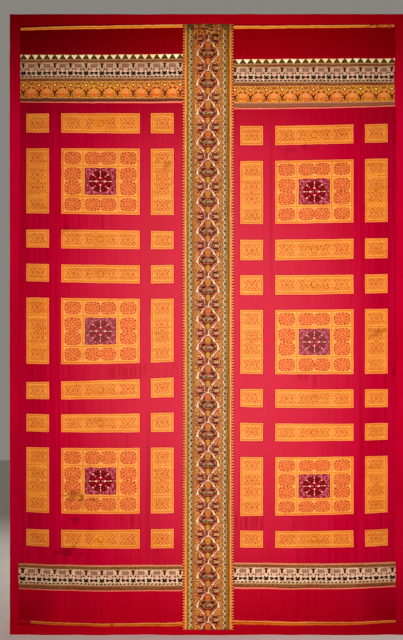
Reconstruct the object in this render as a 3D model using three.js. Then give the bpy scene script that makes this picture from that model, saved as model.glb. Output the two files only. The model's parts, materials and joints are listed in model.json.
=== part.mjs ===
import * as THREE from 'three';

// A hung silk curtain: two wide panels, a narrow figured band over their inner edges, and a plain
// backing cloth that shows as a border all round. Millimetres, Z up. The origin is the middle of
// the backing's top edge, X runs to the viewer's right and the woven face looks along -Y.
// A drop is a distance down from the top edge. An across is a distance along X.

const backingWidth = 2870;
const backingDrop = 4500;
const clothThickness = 2;
const layerGap = 0.3;
const seamLap = 12;
const bandHemDrop = 4460;

// Grid of the cloth. One panel step is about 65 mm wide and one row is about 180 mm high.
const panelSteps = 18;
const bandSteps = 5;
const rowSteps = 24;

// Edges that wander. Each table has a row for each place where its edge changes.
const leftPanelOuterEdge = [
  { drop: 0, across: -1357 },
  { drop: 480, across: -1359 },
  { drop: 1640, across: -1363 },
  { drop: 2940, across: -1367 },
  { drop: 3960, across: -1375 },
  { drop: 4180, across: -1370 },
  { drop: 4500, across: -1367 },
];
const rightPanelOuterEdge = [
  { drop: 0, across: 1353 },
  { drop: 220, across: 1363 },
  { drop: 440, across: 1352 },
  { drop: 660, across: 1358 },
  { drop: 770, across: 1366 },
  { drop: 2940, across: 1363 },
  { drop: 3520, across: 1358 },
  { drop: 4500, across: 1367 },
];
const bandLeftEdge = [
  { drop: 0, across: -180 },
  { drop: 1500, across: -182 },
  { drop: 3000, across: -179 },
  { drop: 4500, across: -181 },
];
const bandRightEdge = [
  { drop: 0, across: 187 },
  { drop: 1800, across: 189 },
  { drop: 3200, across: 187 },
  { drop: 4500, across: 188 },
];
const panelTopEdge = [
  { across: -1360, drop: 86 },
  { across: -1055, drop: 78 },
  { across: -640, drop: 71 },
  { across: 0, drop: 71 },
  { across: 670, drop: 75 },
  { across: 1355, drop: 71 },
];
const panelBottomEdge = [
  { across: -1370, drop: 4430 },
  { across: -1080, drop: 4444 },
  { across: -180, drop: 4444 },
  { across: 190, drop: 4440 },
  { across: 1030, drop: 4439 },
  { across: 1360, drop: 4425 },
];

// Soft upright ripples of the hung cloth. Each is a wave across the width. It moves sideways by
// its lean from top to hem, and it has only its held share of its depth at the top edge.
const ripples = [
  { pitch: 960, depth: 7, start: 130, lean: 150, held: 0.25 },
  { pitch: 445, depth: 4, start: -70, lean: -110, held: 0.35 },
  { pitch: 285, depth: 2.6, start: 40, lean: 60, held: 0.45 },
];

// Straight-line reading of an edge table between its rows.
function readTable(table, known, wanted, value) {
  const next = table.findIndex((row) => row[known] >= value);
  if (next === 0) return table[0][wanted];
  if (next < 0) return table[table.length - 1][wanted];
  const before = table[next - 1];
  const after = table[next];
  const share = (value - before[known]) / (after[known] - before[known]);
  return THREE.MathUtils.lerp(before[wanted], after[wanted], share);
}

const acrossOf = (table) => (drop) => readTable(table, 'drop', 'across', drop);
const dropOf = (table) => (across) => readTable(table, 'across', 'drop', across);

const leftOuter = acrossOf(leftPanelOuterEdge);
const rightOuter = acrossOf(rightPanelOuterEdge);
const bandLeft = acrossOf(bandLeftEdge);
const bandRight = acrossOf(bandRightEdge);
const panelTop = dropOf(panelTopEdge);
const panelBottom = dropOf(panelBottomEdge);

// Lines of the one grid that all the sheets share, so that neighbouring sheets stay parallel.
// A run spreads its steps evenly between two lines, and a line is a function of the other way.
function gridLines(runs) {
  const lines = [runs[0].from];
  for (const { from, to, steps } of runs) {
    for (let step = 1; step <= steps; step += 1) {
      lines.push((other) => THREE.MathUtils.lerp(from(other), to(other), step / steps));
    }
  }
  return lines;
}

const columnRuns = [
  { from: () => -backingWidth / 2, to: leftOuter, steps: 1 },
  { from: leftOuter, to: bandLeft, steps: panelSteps },
  { from: bandLeft, to: (drop) => bandLeft(drop) + seamLap, steps: 1 },
  { from: (drop) => bandLeft(drop) + seamLap, to: (drop) => bandRight(drop) - seamLap, steps: bandSteps },
  { from: (drop) => bandRight(drop) - seamLap, to: bandRight, steps: 1 },
  { from: bandRight, to: rightOuter, steps: panelSteps },
  { from: rightOuter, to: () => backingWidth / 2, steps: 1 },
];
const rowRuns = [
  { from: () => 0, to: panelTop, steps: 1 },
  { from: panelTop, to: panelBottom, steps: rowSteps },
  { from: panelBottom, to: () => bandHemDrop, steps: 1 },
  { from: () => bandHemDrop, to: () => backingDrop, steps: 1 },
];
const columns = gridLines(columnRuns);
const rows = gridLines(rowRuns);

// Numbers of the grid lines at which the sheets begin and end.
const column = { leftOuter: 1 };
column.bandLeft = column.leftOuter + panelSteps;
column.leftInner = column.bandLeft + 1;
column.rightInner = column.leftInner + bandSteps;
column.bandRight = column.rightInner + 1;
column.rightOuter = column.bandRight + panelSteps;
const row = { panelTop: 1 };
row.panelBottom = row.panelTop + rowSteps;
row.bandHem = row.panelBottom + 1;

// How far the cloth swings to the back (plus) or to the front (minus) at a place.
function rippleAt(across, drop) {
  const down = drop / backingDrop;
  let swing = 0;
  for (const { pitch, depth, start, lean, held } of ripples) {
    const grown = depth * THREE.MathUtils.lerp(held, 1, down);
    swing += grown * Math.sin((2 * Math.PI * (across - start - lean * down)) / pitch);
  }
  return swing;
}
const swingAtOrigin = rippleAt(0, 0);

// One crossing of the grid, as a point of the backing's middle surface.
function gridPoint(columnNumber, rowNumber) {
  const levelDrop = rows[rowNumber](0);
  const across = columns[columnNumber](levelDrop);
  const drop = rows[rowNumber](across);
  return new THREE.Vector3(across, rippleAt(across, drop) - swingAtOrigin, -drop);
}

// A closed sheet over a block of the grid. Layer 0 is the backing, and each further layer lies in
// front of the one before it, a cloth's thickness and a small gap away.
function sheetGeometry(columnFrom, columnTo, rowFrom, rowTo, layer) {
  const middle = -layer * (clothThickness + layerGap);
  const across = columnTo - columnFrom + 1;
  const down = rowTo - rowFrom + 1;
  const positions = [];
  for (const face of [middle - clothThickness / 2, middle + clothThickness / 2]) {
    for (let rowNumber = rowFrom; rowNumber <= rowTo; rowNumber += 1) {
      for (let columnNumber = columnFrom; columnNumber <= columnTo; columnNumber += 1) {
        const point = gridPoint(columnNumber, rowNumber);
        positions.push(point.x, point.y + face, point.z);
      }
    }
  }
  const front = (x, y) => y * across + x;
  const back = (x, y) => across * down + front(x, y);
  const triangles = [];
  const quad = (a, b, c, d) => triangles.push(a, b, c, a, c, d);
  for (let y = 0; y < down - 1; y += 1) {
    for (let x = 0; x < across - 1; x += 1) {
      quad(front(x, y), front(x, y + 1), front(x + 1, y + 1), front(x + 1, y));
      const [topLeft, topRight] = [back(x, y), back(x + 1, y)];
      const [lowLeft, lowRight] = [back(x, y + 1), back(x + 1, y + 1)];
      triangles.push(topLeft, lowRight, lowLeft, topLeft, topRight, lowRight);
    }
  }
  for (let x = 0; x < across - 1; x += 1) {
    quad(front(x, 0), front(x + 1, 0), back(x + 1, 0), back(x, 0));
    quad(front(x + 1, down - 1), front(x, down - 1), back(x, down - 1), back(x + 1, down - 1));
  }
  for (let y = 0; y < down - 1; y += 1) {
    quad(front(0, y + 1), front(0, y), back(0, y), back(0, y + 1));
    quad(front(across - 1, y), front(across - 1, y + 1), back(across - 1, y + 1), back(across - 1, y));
  }
  const geometry = new THREE.BufferGeometry();
  geometry.setAttribute('position', new THREE.Float32BufferAttribute(positions, 3));
  geometry.setIndex(triangles);
  geometry.computeVertexNormals();
  return geometry;
}

const redSilk = { color: 0xb40a30, roughness: 0.5, metalness: 0 };
const figuredSilk = { color: 0xb9784a, roughness: 0.6, metalness: 0 };
const redBackingCloth = { color: 0x9c0a18, roughness: 0.85, metalness: 0 };

function addSheet(group, name, finish, columnSpan, rowSpan, layer) {
  const geometry = sheetGeometry(...columnSpan, ...rowSpan, layer);
  const sheet = new THREE.Mesh(geometry, new THREE.MeshStandardMaterial(finish));
  sheet.name = name;
  group.add(sheet);
}

const curtain = new THREE.Group();
const panelRows = [row.panelTop, row.panelBottom];
const bandRows = [row.panelTop, row.bandHem];
const backingColumns = [0, columns.length - 1];
const backingRows = [0, rows.length - 1];
addSheet(curtain, 'backing_cloth', redBackingCloth, backingColumns, backingRows, 0);
addSheet(curtain, 'panel_left', redSilk, [column.leftOuter, column.leftInner], panelRows, 1);
addSheet(curtain, 'panel_right', redSilk, [column.rightInner, column.rightOuter], panelRows, 1);
addSheet(curtain, 'centre_band', figuredSilk, [column.bandLeft, column.bandRight], bandRows, 2);

export default curtain;
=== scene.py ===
import json
import math
from collections import namedtuple
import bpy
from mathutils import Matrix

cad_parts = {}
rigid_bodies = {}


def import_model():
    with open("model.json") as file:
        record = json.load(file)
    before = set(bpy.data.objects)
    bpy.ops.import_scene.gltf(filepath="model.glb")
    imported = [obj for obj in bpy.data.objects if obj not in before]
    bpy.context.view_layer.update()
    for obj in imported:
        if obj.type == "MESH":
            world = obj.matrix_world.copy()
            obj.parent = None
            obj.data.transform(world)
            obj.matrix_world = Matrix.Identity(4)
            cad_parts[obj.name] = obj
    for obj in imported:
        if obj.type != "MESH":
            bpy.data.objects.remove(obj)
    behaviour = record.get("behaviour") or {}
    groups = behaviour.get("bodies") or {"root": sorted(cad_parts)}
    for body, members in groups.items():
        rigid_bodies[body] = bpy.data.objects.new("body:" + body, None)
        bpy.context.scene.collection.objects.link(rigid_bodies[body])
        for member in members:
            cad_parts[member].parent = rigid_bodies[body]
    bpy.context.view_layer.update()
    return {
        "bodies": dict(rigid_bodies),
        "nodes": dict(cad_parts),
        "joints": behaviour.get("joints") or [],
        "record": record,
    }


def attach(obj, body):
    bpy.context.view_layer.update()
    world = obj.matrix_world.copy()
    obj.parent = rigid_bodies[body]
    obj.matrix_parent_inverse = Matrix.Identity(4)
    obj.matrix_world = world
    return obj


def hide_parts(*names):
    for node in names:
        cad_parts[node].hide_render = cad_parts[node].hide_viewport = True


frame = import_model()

from types import SimpleNamespace

import bpy
from mathutils import Vector, noise

# The looks of a hung silk curtain: two red panels with gold blocks and figured bands, a narrow
# figured band over their inner edges, and a plain red backing cloth. Metres, Z up. A drop is a
# distance down from the top edge, and an across is a distance along X. Woven patterns are drawn in
# millimetres, in each piece's own "motif" map.

MM = 0.001

# Sizes of the cloths.
CLOTH_THICKNESS = 1.4 * MM
# How far each cloth lies in front of the one behind it, middle to middle.
LAYER_STEP = 2.3 * MM
BACKING_WIDTH = 2870
BACKING_DROP = 4500
BAND_HEM_DROP = 4460
SEAM_LAP = 12
# The narrow strip along each zone's edge, over which a block's dark rim fades into the satin.
BLOCK_RIM = 7
# Steps of the cloths' meshes, across and down.
PANEL_STEP = 17
PANEL_ROW_STEP = 20
BAND_STEP = 14
BAND_ROW_STEP = 20
BACKING_STEP = 40
BACKING_ROW_STEP = 60

Ripple = namedtuple("Ripple", "pitch depth start lean held")
RIPPLES = (
    Ripple(pitch=960, depth=7.0, start=130, lean=150, held=0.25),
    Ripple(pitch=445, depth=4.0, start=-70, lean=-110, held=0.35),
    Ripple(pitch=285, depth=2.6, start=40, lean=60, held=0.45),
)

# Soft upright creases in the satin, each a ridge towards the viewer.
Crease = namedtuple("Crease", "across top bottom width height")
CREASES = (
    Crease(across=-1010, top=2500, bottom=2980, width=34, height=1.8),
    Crease(across=-905, top=2480, bottom=3020, width=40, height=1.5),
    Crease(across=-780, top=1430, bottom=1580, width=44, height=1.6),
    Crease(across=-690, top=2540, bottom=2700, width=38, height=1.9),
    Crease(across=-600, top=3020, bottom=3160, width=40, height=1.7),
    Crease(across=-980, top=3600, bottom=3760, width=36, height=1.8),
    Crease(across=-840, top=3620, bottom=3980, width=42, height=1.5),
    Crease(across=-1110, top=1900, bottom=2700, width=46, height=1.6),
    Crease(across=-450, top=3000, bottom=4000, width=48, height=1.5),
    Crease(across=445, top=900, bottom=1900, width=46, height=1.4),
    Crease(across=610, top=3600, bottom=3780, width=36, height=1.9),
    Crease(across=760, top=2600, bottom=2740, width=40, height=1.6),
    Crease(across=905, top=3610, bottom=3960, width=42, height=1.8),
    Crease(across=1000, top=2590, bottom=2730, width=38, height=1.5),
    Crease(across=1098, top=2500, bottom=3700, width=44, height=1.6),
)

# Edges that wander, as pairs of drop and across.
LEFT_OUTER_EDGE = (
    (0, -1357), (480, -1359), (1640, -1363), (2940, -1367), (3960, -1375), (4180, -1370), (4500, -1367),
)
RIGHT_OUTER_EDGE = (
    (0, 1353), (220, 1363), (440, 1352), (660, 1358), (770, 1366), (2940, 1363), (3520, 1358),
    (4500, 1367),
)
BAND_LEFT_EDGE = ((0, -180), (1500, -182), (3000, -179), (4500, -181))
BAND_RIGHT_EDGE = ((0, 187), (1800, 189), (3200, 187), (4500, 188))

# Edges at the top and the hem, as pairs of across and drop.
PANEL_TOP_EDGE = ((-1360, 86), (-1055, 78), (-640, 71), (0, 71), (670, 75), (1355, 71))
PANEL_HEM_EDGE = ((-1370, 4430), (-1080, 4444), (-180, 4444), (190, 4440), (1030, 4439), (1360, 4425))

# What is woven from each drop down. The drops are those at the three stations of the left panel, and
# then at those of the right one, left to right.
PANEL_ROWS = (
    ("gold_stripe", (91, 80, 72), (80, 78, 74)),
    ("satin", (117, 109, 101), (107, 104, 98)),
    ("triangles", (294, 293, 289), (326, 323, 320)),
    ("stripe", (331, 330, 327), (362, 359, 357)),
    ("figures", (349, 348, 345), (380, 380, 376)),
    ("stripe", (463, 463, 463), (493, 493, 491)),
    ("arcade", (487, 486, 484), (521, 519, 515)),
    ("stripe", (607, 608, 609), (641, 639, 633)),
    ("pale_line", (629, 629, 626), (672, 669, 658)),
    ("satin", (642, 645, 645), (689, 685, 673)),
    ("small", (720, 718, 717), (809, 805, 795)),
    ("satin", (860, 863, 865), (951, 945, 931)),
    ("large", (972, 972, 974), (1063, 1057, 1047)),
    ("satin", (1446, 1452, 1457), (1522, 1517, 1507)),
    ("small", (1561, 1564, 1571), (1635, 1631, 1623)),
    ("satin", (1694, 1702, 1705), (1784, 1781, 1770)),
    ("small", (1810, 1817, 1818), (1891, 1890, 1884)),
    ("satin", (1940, 1950, 1952), (2036, 2032, 2023)),
    ("large", (2055, 2060, 2062), (2143, 2141, 2135)),
    ("satin", (2537, 2536, 2524), (2609, 2611, 2607)),
    ("small", (2664, 2654, 2636), (2717, 2719, 2718)),
    ("satin", (2792, 2791, 2779), (2851, 2856, 2850)),
    ("small", (2899, 2898, 2888), (2963, 2968, 2965)),
    ("satin", (3028, 3033, 3029), (3096, 3096, 3088)),
    ("large", (3140, 3144, 3141), (3210, 3210, 3202)),
    ("satin", (3615, 3624, 3619), (3638, 3632, 3616)),
    ("small", (3734, 3738, 3732), (3744, 3745, 3734)),
    ("satin", (3861, 3874, 3873), (3868, 3869, 3856)),
    ("pale_line", (3983, 3990, 3989), (3974, 3977, 3970)),
    ("stripe", (3993, 4001, 4000), (3985, 3989, 3982)),
    ("figures", (4016, 4025, 4024), (4010, 4012, 4007)),
    ("stripe", (4135, 4143, 4143), (4128, 4130, 4121)),
    ("pale_line", (4162, 4170, 4170), (4150, 4153, 4143)),
    ("satin", (4175, 4184, 4184), (4168, 4170, 4159)),
    ("gold_stripe", (4399, 4412, 4407), (4394, 4401, 4395)),
    ("satin", (4425, 4440, 4441), (4431, 4435, 4421)),
)

# What is woven from each across on, left to right.
LEFT_COLUMNS = (
    ("small", -1316), ("satin", -1149), ("main", -1062), ("satin", -492), ("small", -413),
    ("satin", -246),
)
RIGHT_COLUMNS = (
    ("small", 235), ("satin", 402), ("main", 489), ("satin", 1057), ("small", 1139), ("satin", 1306),
)

# The figured band, left to right, as distances from its middle line.
BAND_COLUMNS = (
    ("border", -184), ("guard", -144.6), ("field", -108.4), ("guard", 101.9), ("border", 135.2),
)
BAND_HALF = 184
# Which crossing of the band's straps lies at each drop, as pairs of drop and number.
STRAP_CROSSINGS = (
    (-493, -2), (187, 1), (832, 4), (1478, 7), (2116, 10), (2739, 13), (3377, 16), (3979, 19), (4399, 21),
    (5019, 24),
)

# A panel: its rows and columns, the acrosses at which its rows are given, its edges, and the across
# of a stem of its figures.
PanelPlan = namedtuple("PanelPlan", "name node rows columns stations left_edge right_edge stem")


def read_table(table, value):
    """Straight-line reading of pairs, held at both ends."""
    if value <= table[0][0]:
        return table[0][1]
    for (low, at_low), (high, at_high) in zip(table, table[1:]):
        if value <= high:
            return at_low + (at_high - at_low) * (value - low) / (high - low)
    return table[-1][1]


def through_three(stations, heights, value):
    """The smooth curve through three points, read at a value."""
    (a, b, c), (at_a, at_b, at_c) = stations, heights
    return (
        at_a * (value - b) * (value - c) / ((a - b) * (a - c))
        + at_b * (value - a) * (value - c) / ((b - a) * (b - c))
        + at_c * (value - a) * (value - b) / ((c - a) * (c - b))
    )


LEFT_PANEL = PanelPlan(
    name="left_silk_panel",
    node="panel_left",
    rows=[(zone, drops) for zone, drops, _ in PANEL_ROWS],
    columns=LEFT_COLUMNS,
    stations=(-1187, -774, -324),
    left_edge=lambda drop: read_table(LEFT_OUTER_EDGE, drop),
    right_edge=lambda drop: read_table(BAND_LEFT_EDGE, drop) + SEAM_LAP,
    stem=-1222,
)
RIGHT_PANEL = PanelPlan(
    name="right_silk_panel",
    node="panel_right",
    rows=[(zone, drops) for zone, _, drops in PANEL_ROWS],
    columns=RIGHT_COLUMNS,
    stations=(350, 763, 1235),
    left_edge=lambda drop: read_table(BAND_RIGHT_EDGE, drop) - SEAM_LAP,
    right_edge=lambda drop: read_table(RIGHT_OUTER_EDGE, drop),
    stem=1107,
)


# Shape of the cloth.

def ripple(across, drop):
    """How far the hung cloth swings to the back at a place."""
    down = drop / BACKING_DROP
    swing = 0
    for wave in RIPPLES:
        grown = wave.depth * (wave.held + (1 - wave.held) * down)
        swing += grown * math.sin(2 * math.pi * (across - wave.start - wave.lean * down) / wave.pitch)
    return swing


SWING_AT_ORIGIN = ripple(0, 0)


def crease(across, drop):
    """How far the soft creases stand towards the viewer at a place."""
    height = 0
    for fold in CREASES:
        beside = abs(across - fold.across) / fold.width
        if beside < 1 and fold.top < drop < fold.bottom:
            along = (drop - fold.top) / (fold.bottom - fold.top)
            height += fold.height * math.cos(beside * math.pi / 2) ** 2 * math.sin(along * math.pi) ** 0.5
    return height


# The wander of hand-woven cloth: its waves in a millimetre, its reach, how much closer and weaker its
# finer waves are, and where in the noise its upright part is read.
WANDER_WAVES = 0.006
WANDER_REACH = 1.6
FINER_WAVES = 3
FINER_SHARE = 0.9
UPRIGHT_NOISE = Vector((0, 0, 7.3))


def uneven(across, drop):
    """The small sideways and upright wander of hand-woven cloth."""
    place = Vector((across * WANDER_WAVES, drop * WANDER_WAVES, 0))
    finer = place * FINER_WAVES
    side = noise.noise(place) + FINER_SHARE * noise.noise(finer)
    lift = noise.noise(place + UPRIGHT_NOISE) + FINER_SHARE * noise.noise(finer + UPRIGHT_NOISE)
    return WANDER_REACH * side, WANDER_REACH * lift


def cloth_point(across, drop, layer, creased):
    """A place of the cloth as a point in metres. Layer 0 is the backing, further ones lie in front."""
    back = ripple(across, drop) - SWING_AT_ORIGIN
    if creased:
        back -= crease(across, drop)
    return (across * MM, back * MM - layer * LAYER_STEP, -drop * MM)


Strip = namedtuple("Strip", "zone number low high")


def strips_between(lines, reference, step, rim=0):
    """Splits the zones between lines into strips. Each line is a zone's name and a function."""
    places, strips = [], []
    for number, ((zone, low), (_, high)) in enumerate(zip(lines, lines[1:])):
        width = high(reference) - low(reference)
        count = max(1, round(width / step))
        shares = [k / count for k in range(count + 1)]
        if rim and width > 4 * rim:
            shares = sorted(set([s for s in shares if rim < s * width < width - rim]
                                + [0, rim / width, 1 - rim / width, 1]))
        for before, after in zip(shares, shares[1:]):
            places.append(lambda other, a=low, b=high, s=before: a(other) + (b(other) - a(other)) * s)
            strips.append(Strip(zone, number, before, after))
    places.append(lines[-1][1])
    return places, strips


Dress = namedtuple("Dress", "finish left right top bottom")


def weave_sheet(name, columns, rows, layer, dress, finishes, creased=False):
    """A thin hung cloth. dress says the finish and the motif map's range for each zone."""
    column_places, column_strips = columns
    row_places, row_strips = rows
    width = len(column_places)
    middle_column = column_places[width // 2]
    points = []
    for row_place in row_places:
        level = row_place(middle_column(BACKING_DROP / 2))
        for column_place in column_places:
            across = column_place(level)
            drop = row_place(across)
            side, down = uneven(across, drop)
            points.append(cloth_point(across + side, drop + down, layer, creased))
    faces, face_finish, motif, on_block = [], [], [], set()
    finish_names = list(finishes)
    for j, row_strip in enumerate(row_strips):
        for i, column_strip in enumerate(column_strips):
            corner = j * width + i
            face = (corner, corner + width, corner + width + 1, corner + 1)
            look = dress(column_strip, row_strip)
            u = [look.left + (look.right - look.left) * s for s in (column_strip.low, column_strip.high)]
            v = [look.top + (look.bottom - look.top) * s for s in (row_strip.low, row_strip.high)]
            faces.append(face)
            face_finish.append(finish_names.index(look.finish))
            motif.extend(((u[0], v[0]), (u[0], v[1]), (u[1], v[1]), (u[1], v[0])))
            if look.finish in BLOCK_FINISHES:
                on_block.update(face)
    mesh = bpy.data.meshes.new(name)
    mesh.from_pydata(points, [], faces)
    for finish in finishes.values():
        mesh.materials.append(finish)
    mesh.polygons.foreach_set("material_index", face_finish)
    motif_map = mesh.uv_layers.new(name="motif")
    for loop, (u, v) in zip(motif_map.data, motif):
        loop.uv = (u * MM, v * MM)
    rim = mesh.attributes.new("block_rim", "FLOAT", "POINT")
    for number in on_block:
        rim.data[number].value = 1
    piece = bpy.data.objects.new(name, mesh)
    bpy.context.collection.objects.link(piece)
    give_thickness(piece)
    return piece


def give_thickness(piece):
    """Makes the woven face a closed cloth, with its reverse in the last finish."""
    bpy.ops.object.select_all(action="DESELECT")
    piece.select_set(True)
    bpy.context.view_layer.objects.active = piece
    solid = piece.modifiers.new("cloth", "SOLIDIFY")
    solid.thickness = CLOTH_THICKNESS
    solid.offset = 0
    solid.material_offset = len(piece.data.materials)
    solid.use_even_offset = False
    bpy.ops.object.modifier_apply(modifier="cloth")
    bpy.ops.object.shade_smooth_by_angle(angle=math.radians(50))


def spread_bake_map(piece, front_columns, back_share):
    """A second map that spreads the face in side-by-side lengths, with the reverse in a narrower one."""
    mesh = piece.data
    low = [min(v.co[k] for v in mesh.vertices) for k in range(3)]
    size = [max(v.co[k] for v in mesh.vertices) - low[k] for k in range(3)]
    lengths = front_columns + back_share
    rim_share, rim_margin, margin = 0.004, 0.1, 0.01
    body_share = 1 - 4 * rim_share
    bake_map = mesh.uv_layers.new(name="OFBake")
    for face in mesh.polygons:
        turned = [abs(n) for n in face.normal]
        across = (face.center[0] - low[0]) / size[0]
        down = 1 - (face.center[2] - low[2]) / size[2]
        for loop in face.loop_indices:
            point = mesh.vertices[mesh.loops[loop].vertex_index].co
            side, depth, rise = [(point[k] - low[k]) / size[k] for k in range(3)]
            if turned[1] < max(turned[0], turned[2]):
                edge = (across > 0.5) + 2 * (turned[2] > turned[0])
                along = side if turned[2] > turned[0] else rise
                u = body_share + rim_share * (edge + rim_margin + (1 - 2 * rim_margin) * depth)
                v = along
            elif face.normal[1] < 0:
                length = min(int(down * front_columns), front_columns - 1)
                u = body_share * (length + margin / 2 + (1 - margin) * side) / lengths
                v = 1 - ((1 - rise) * front_columns - length) * (1 - 2 * margin) - margin
            else:
                beside = margin + (1 - 2 * margin) * side
                u = body_share * (front_columns + back_share * beside) / lengths
                v = rise
            bake_map.data[loop].uv = (u, v)


# Finishes. A Yarn is a value in a finish, and a Loom is the finish that its nodes belong to.

class Yarn:
    """A node's output. Arithmetic on it adds Math nodes to the same finish."""

    def __init__(self, loom, socket):
        self.loom = loom
        self.socket = socket

    def __add__(self, other):
        return self.loom.math("ADD", self, other)

    __radd__ = __add__

    def __sub__(self, other):
        return self.loom.math("SUBTRACT", self, other)

    def __rsub__(self, other):
        return self.loom.math("SUBTRACT", other, self)

    def __mul__(self, other):
        return self.loom.math("MULTIPLY", self, other)

    __rmul__ = __mul__

    def __truediv__(self, other):
        return self.loom.math("DIVIDE", self, other)

    def __abs__(self):
        return self.loom.math("ABSOLUTE", self)

    def __mod__(self, other):
        return self.loom.math("FLOORED_MODULO", self, other)

    def __gt__(self, other):
        return self.loom.math("GREATER_THAN", self, other)


# How often the threads wander in a metre, and how far, in metres.
THREAD_WANDERS = (70, 1, 70)
THREAD_REACH = (0.006, 0.006, 0)


class Loom:
    """A cloth finish under construction, with the colour that is woven so far."""

    def __init__(self, name):
        self.material = bpy.data.materials.new(name)
        self.material.use_nodes = True
        self.tree = self.material.node_tree
        self.tree.nodes.clear()
        self.place = self.add("ShaderNodeTexCoord", output="Object")
        self.across = self.vector("DOT_PRODUCT", self.place, (1000, 0, 0), output="Value")
        self.drop = self.vector("DOT_PRODUCT", self.place, (0, 0, -1000), output="Value")
        motif = self.add("ShaderNodeUVMap", {"uv_map": "motif"})
        wanders = self.vector("MULTIPLY", self.place, THREAD_WANDERS)
        wander = self.add("ShaderNodeTexNoise", inputs={"Vector": wanders, "Scale": 1.0}, output="Color")
        wander = self.vector("SUBTRACT", wander, (0.5, 0.5, 0.5))
        motif = self.vector("MULTIPLY_ADD", wander, THREAD_REACH, motif)
        self.u = self.vector("DOT_PRODUCT", motif, (1000, 0, 0), output="Value")
        self.v = self.vector("DOT_PRODUCT", motif, (0, 1000, 0), output="Value")
        self.colour = None

    def add(self, kind, settings=None, inputs=None, output=0):
        """Any node: its type, its settings, the values or yarns of its inputs, and its output."""
        node = self.tree.nodes.new(kind)
        for name, value in (settings or {}).items():
            setattr(node, name, value)
        for name, value in (inputs or {}).items():
            if isinstance(value, Yarn):
                self.tree.links.new(value.socket, node.inputs[name])
            else:
                node.inputs[name].default_value = value
        return Yarn(self, node.outputs[output])

    def math(self, operation, *values, clamp=False):
        settings = {"operation": operation, "use_clamp": clamp}
        return self.add("ShaderNodeMath", settings, dict(enumerate(values)))

    def vector(self, operation, *values, output="Vector"):
        return self.add("ShaderNodeVectorMath", {"operation": operation}, dict(enumerate(values)), output)

    def spot(self, x, y):
        return self.add("ShaderNodeCombineXYZ", inputs={"X": x, "Y": y})

    def mix(self, under, over, cover):
        """Two colours, the second covering the first where cover is 1."""
        inputs = {0: cover, 6: under, 7: over}
        return self.add("ShaderNodeMix", {"data_type": "RGBA"}, inputs, output=2)

    def mottle(self, across, upright, detail=2.0):
        """Soft noise from 0 to 1, with about so many patches in a metre each way."""
        where = self.vector("MULTIPLY", self.place, (across, 1, upright))
        return self.add("ShaderNodeTexNoise", inputs={"Vector": where, "Scale": 1.0, "Detail": detail})

    def patches(self, across, upright, level, soft, detail=2.0):
        """1 in the patches where mottle is over a level, and 0 between them."""
        return inside(level - self.mottle(across, upright, detail), soft)

    def ground(self, first, second, noise, at=0.5, soft=0.3):
        """Starts the cloth as two colours in soft patches."""
        self.colour = self.mix(first, second, inside(at - noise, soft))

    def lay(self, colour, shape, soft=2.0, strength=1):
        """Weaves a colour inside a shape, over what is there."""
        cover = inside(shape, soft)
        if isinstance(strength, Yarn) or strength != 1:
            cover = cover * strength
        self.colour = self.mix(self.colour, colour, cover)

    def fleck(self, colour, across, upright, level, soft, strength):
        """Weaves a colour in the patches where mottle is over a level."""
        self.lay(colour, level - self.mottle(across, upright), soft, strength)


def dye(red, green, blue):
    """A colour given as it looks on a screen, as shader values."""
    channels = [c / 255 for c in (red, green, blue)]
    linear = [c / 12.92 if c <= 0.04045 else ((c + 0.055) / 1.055) ** 2.4 for c in channels]
    return (*linear, 1)


def dyes(**screen_colours):
    """Named dyes of one finish, each given as it looks on a screen."""
    return SimpleNamespace(**{name: dye(*channels) for name, channels in screen_colours.items()})


def lowest(first, *rest):
    """Where any of some shapes is."""
    for shape in rest:
        first = first.loom.math("MINIMUM", first, shape)
    return first


def highest(first, *rest):
    """Where all of some shapes are."""
    for shape in rest:
        first = first.loom.math("MAXIMUM", first, shape)
    return first


def inside(shape, soft=2.0):
    """1 inside a shape and 0 outside, where the shape is a distance from its outline."""
    return shape.loom.math("MULTIPLY_ADD", shape, -1 / soft, 0.5, clamp=True)


def disc(spot, x, y, radius):
    return spot.loom.vector("DISTANCE", spot, (x, y, 0), output="Value") - radius


def ring(spot, x, y, radius, half_width):
    return abs(disc(spot, x, y, radius)) - half_width


def turned_axes(spot, x, y, angle):
    """Distances along and beside a line through a point, turned by an angle in degrees."""
    cosine, sine = math.cos(math.radians(angle)), math.sin(math.radians(angle))
    along = spot.loom.vector("DOT_PRODUCT", spot, (cosine, sine, 0), output="Value")
    beside = spot.loom.vector("DOT_PRODUCT", spot, (-sine, cosine, 0), output="Value")
    return along - (x * cosine + y * sine), beside - (y * cosine - x * sine)


def stroke(spot, x0, y0, x1, y1, half_width):
    angle = math.degrees(math.atan2(y1 - y0, x1 - x0))
    along, beside = turned_axes(spot, (x0 + x1) / 2, (y0 + y1) / 2, angle)
    return highest(abs(along) - math.hypot(x1 - x0, y1 - y0) / 2, abs(beside) - half_width)


def leaf(spot, x, y, half_length, half_width, angle=0):
    along, beside = turned_axes(spot, x, y, angle)
    scaled = spot.loom.spot(along / half_length, beside / half_width)
    return (spot.loom.vector("LENGTH", scaled, output="Value") - 1) * half_width


def lozenge(spot, x, y, half_width, half_height):
    loom = spot.loom
    offset = loom.vector("ABSOLUTE", loom.vector("SUBTRACT", spot, (x, y, 0)))
    scales = (1 / half_width, 1 / half_height, 0)
    return (loom.vector("DOT_PRODUCT", offset, scales, output="Value") - 1) * min(half_width, half_height)


def from_repeat(value, pitch):
    """Signed distance from the nearest of many lines, one pitch apart."""
    return (value + pitch / 2) % pitch - pitch / 2


# The painted highlight's middle in metres, one over its reach each way, and how sharply it ends.
LAMP_POOL_MIDDLE = (0.05, 0, -2.35)
LAMP_POOL_SCALE = (0.83, 0, 0.455)
LAMP_POOL_FALL = 1.15


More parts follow.
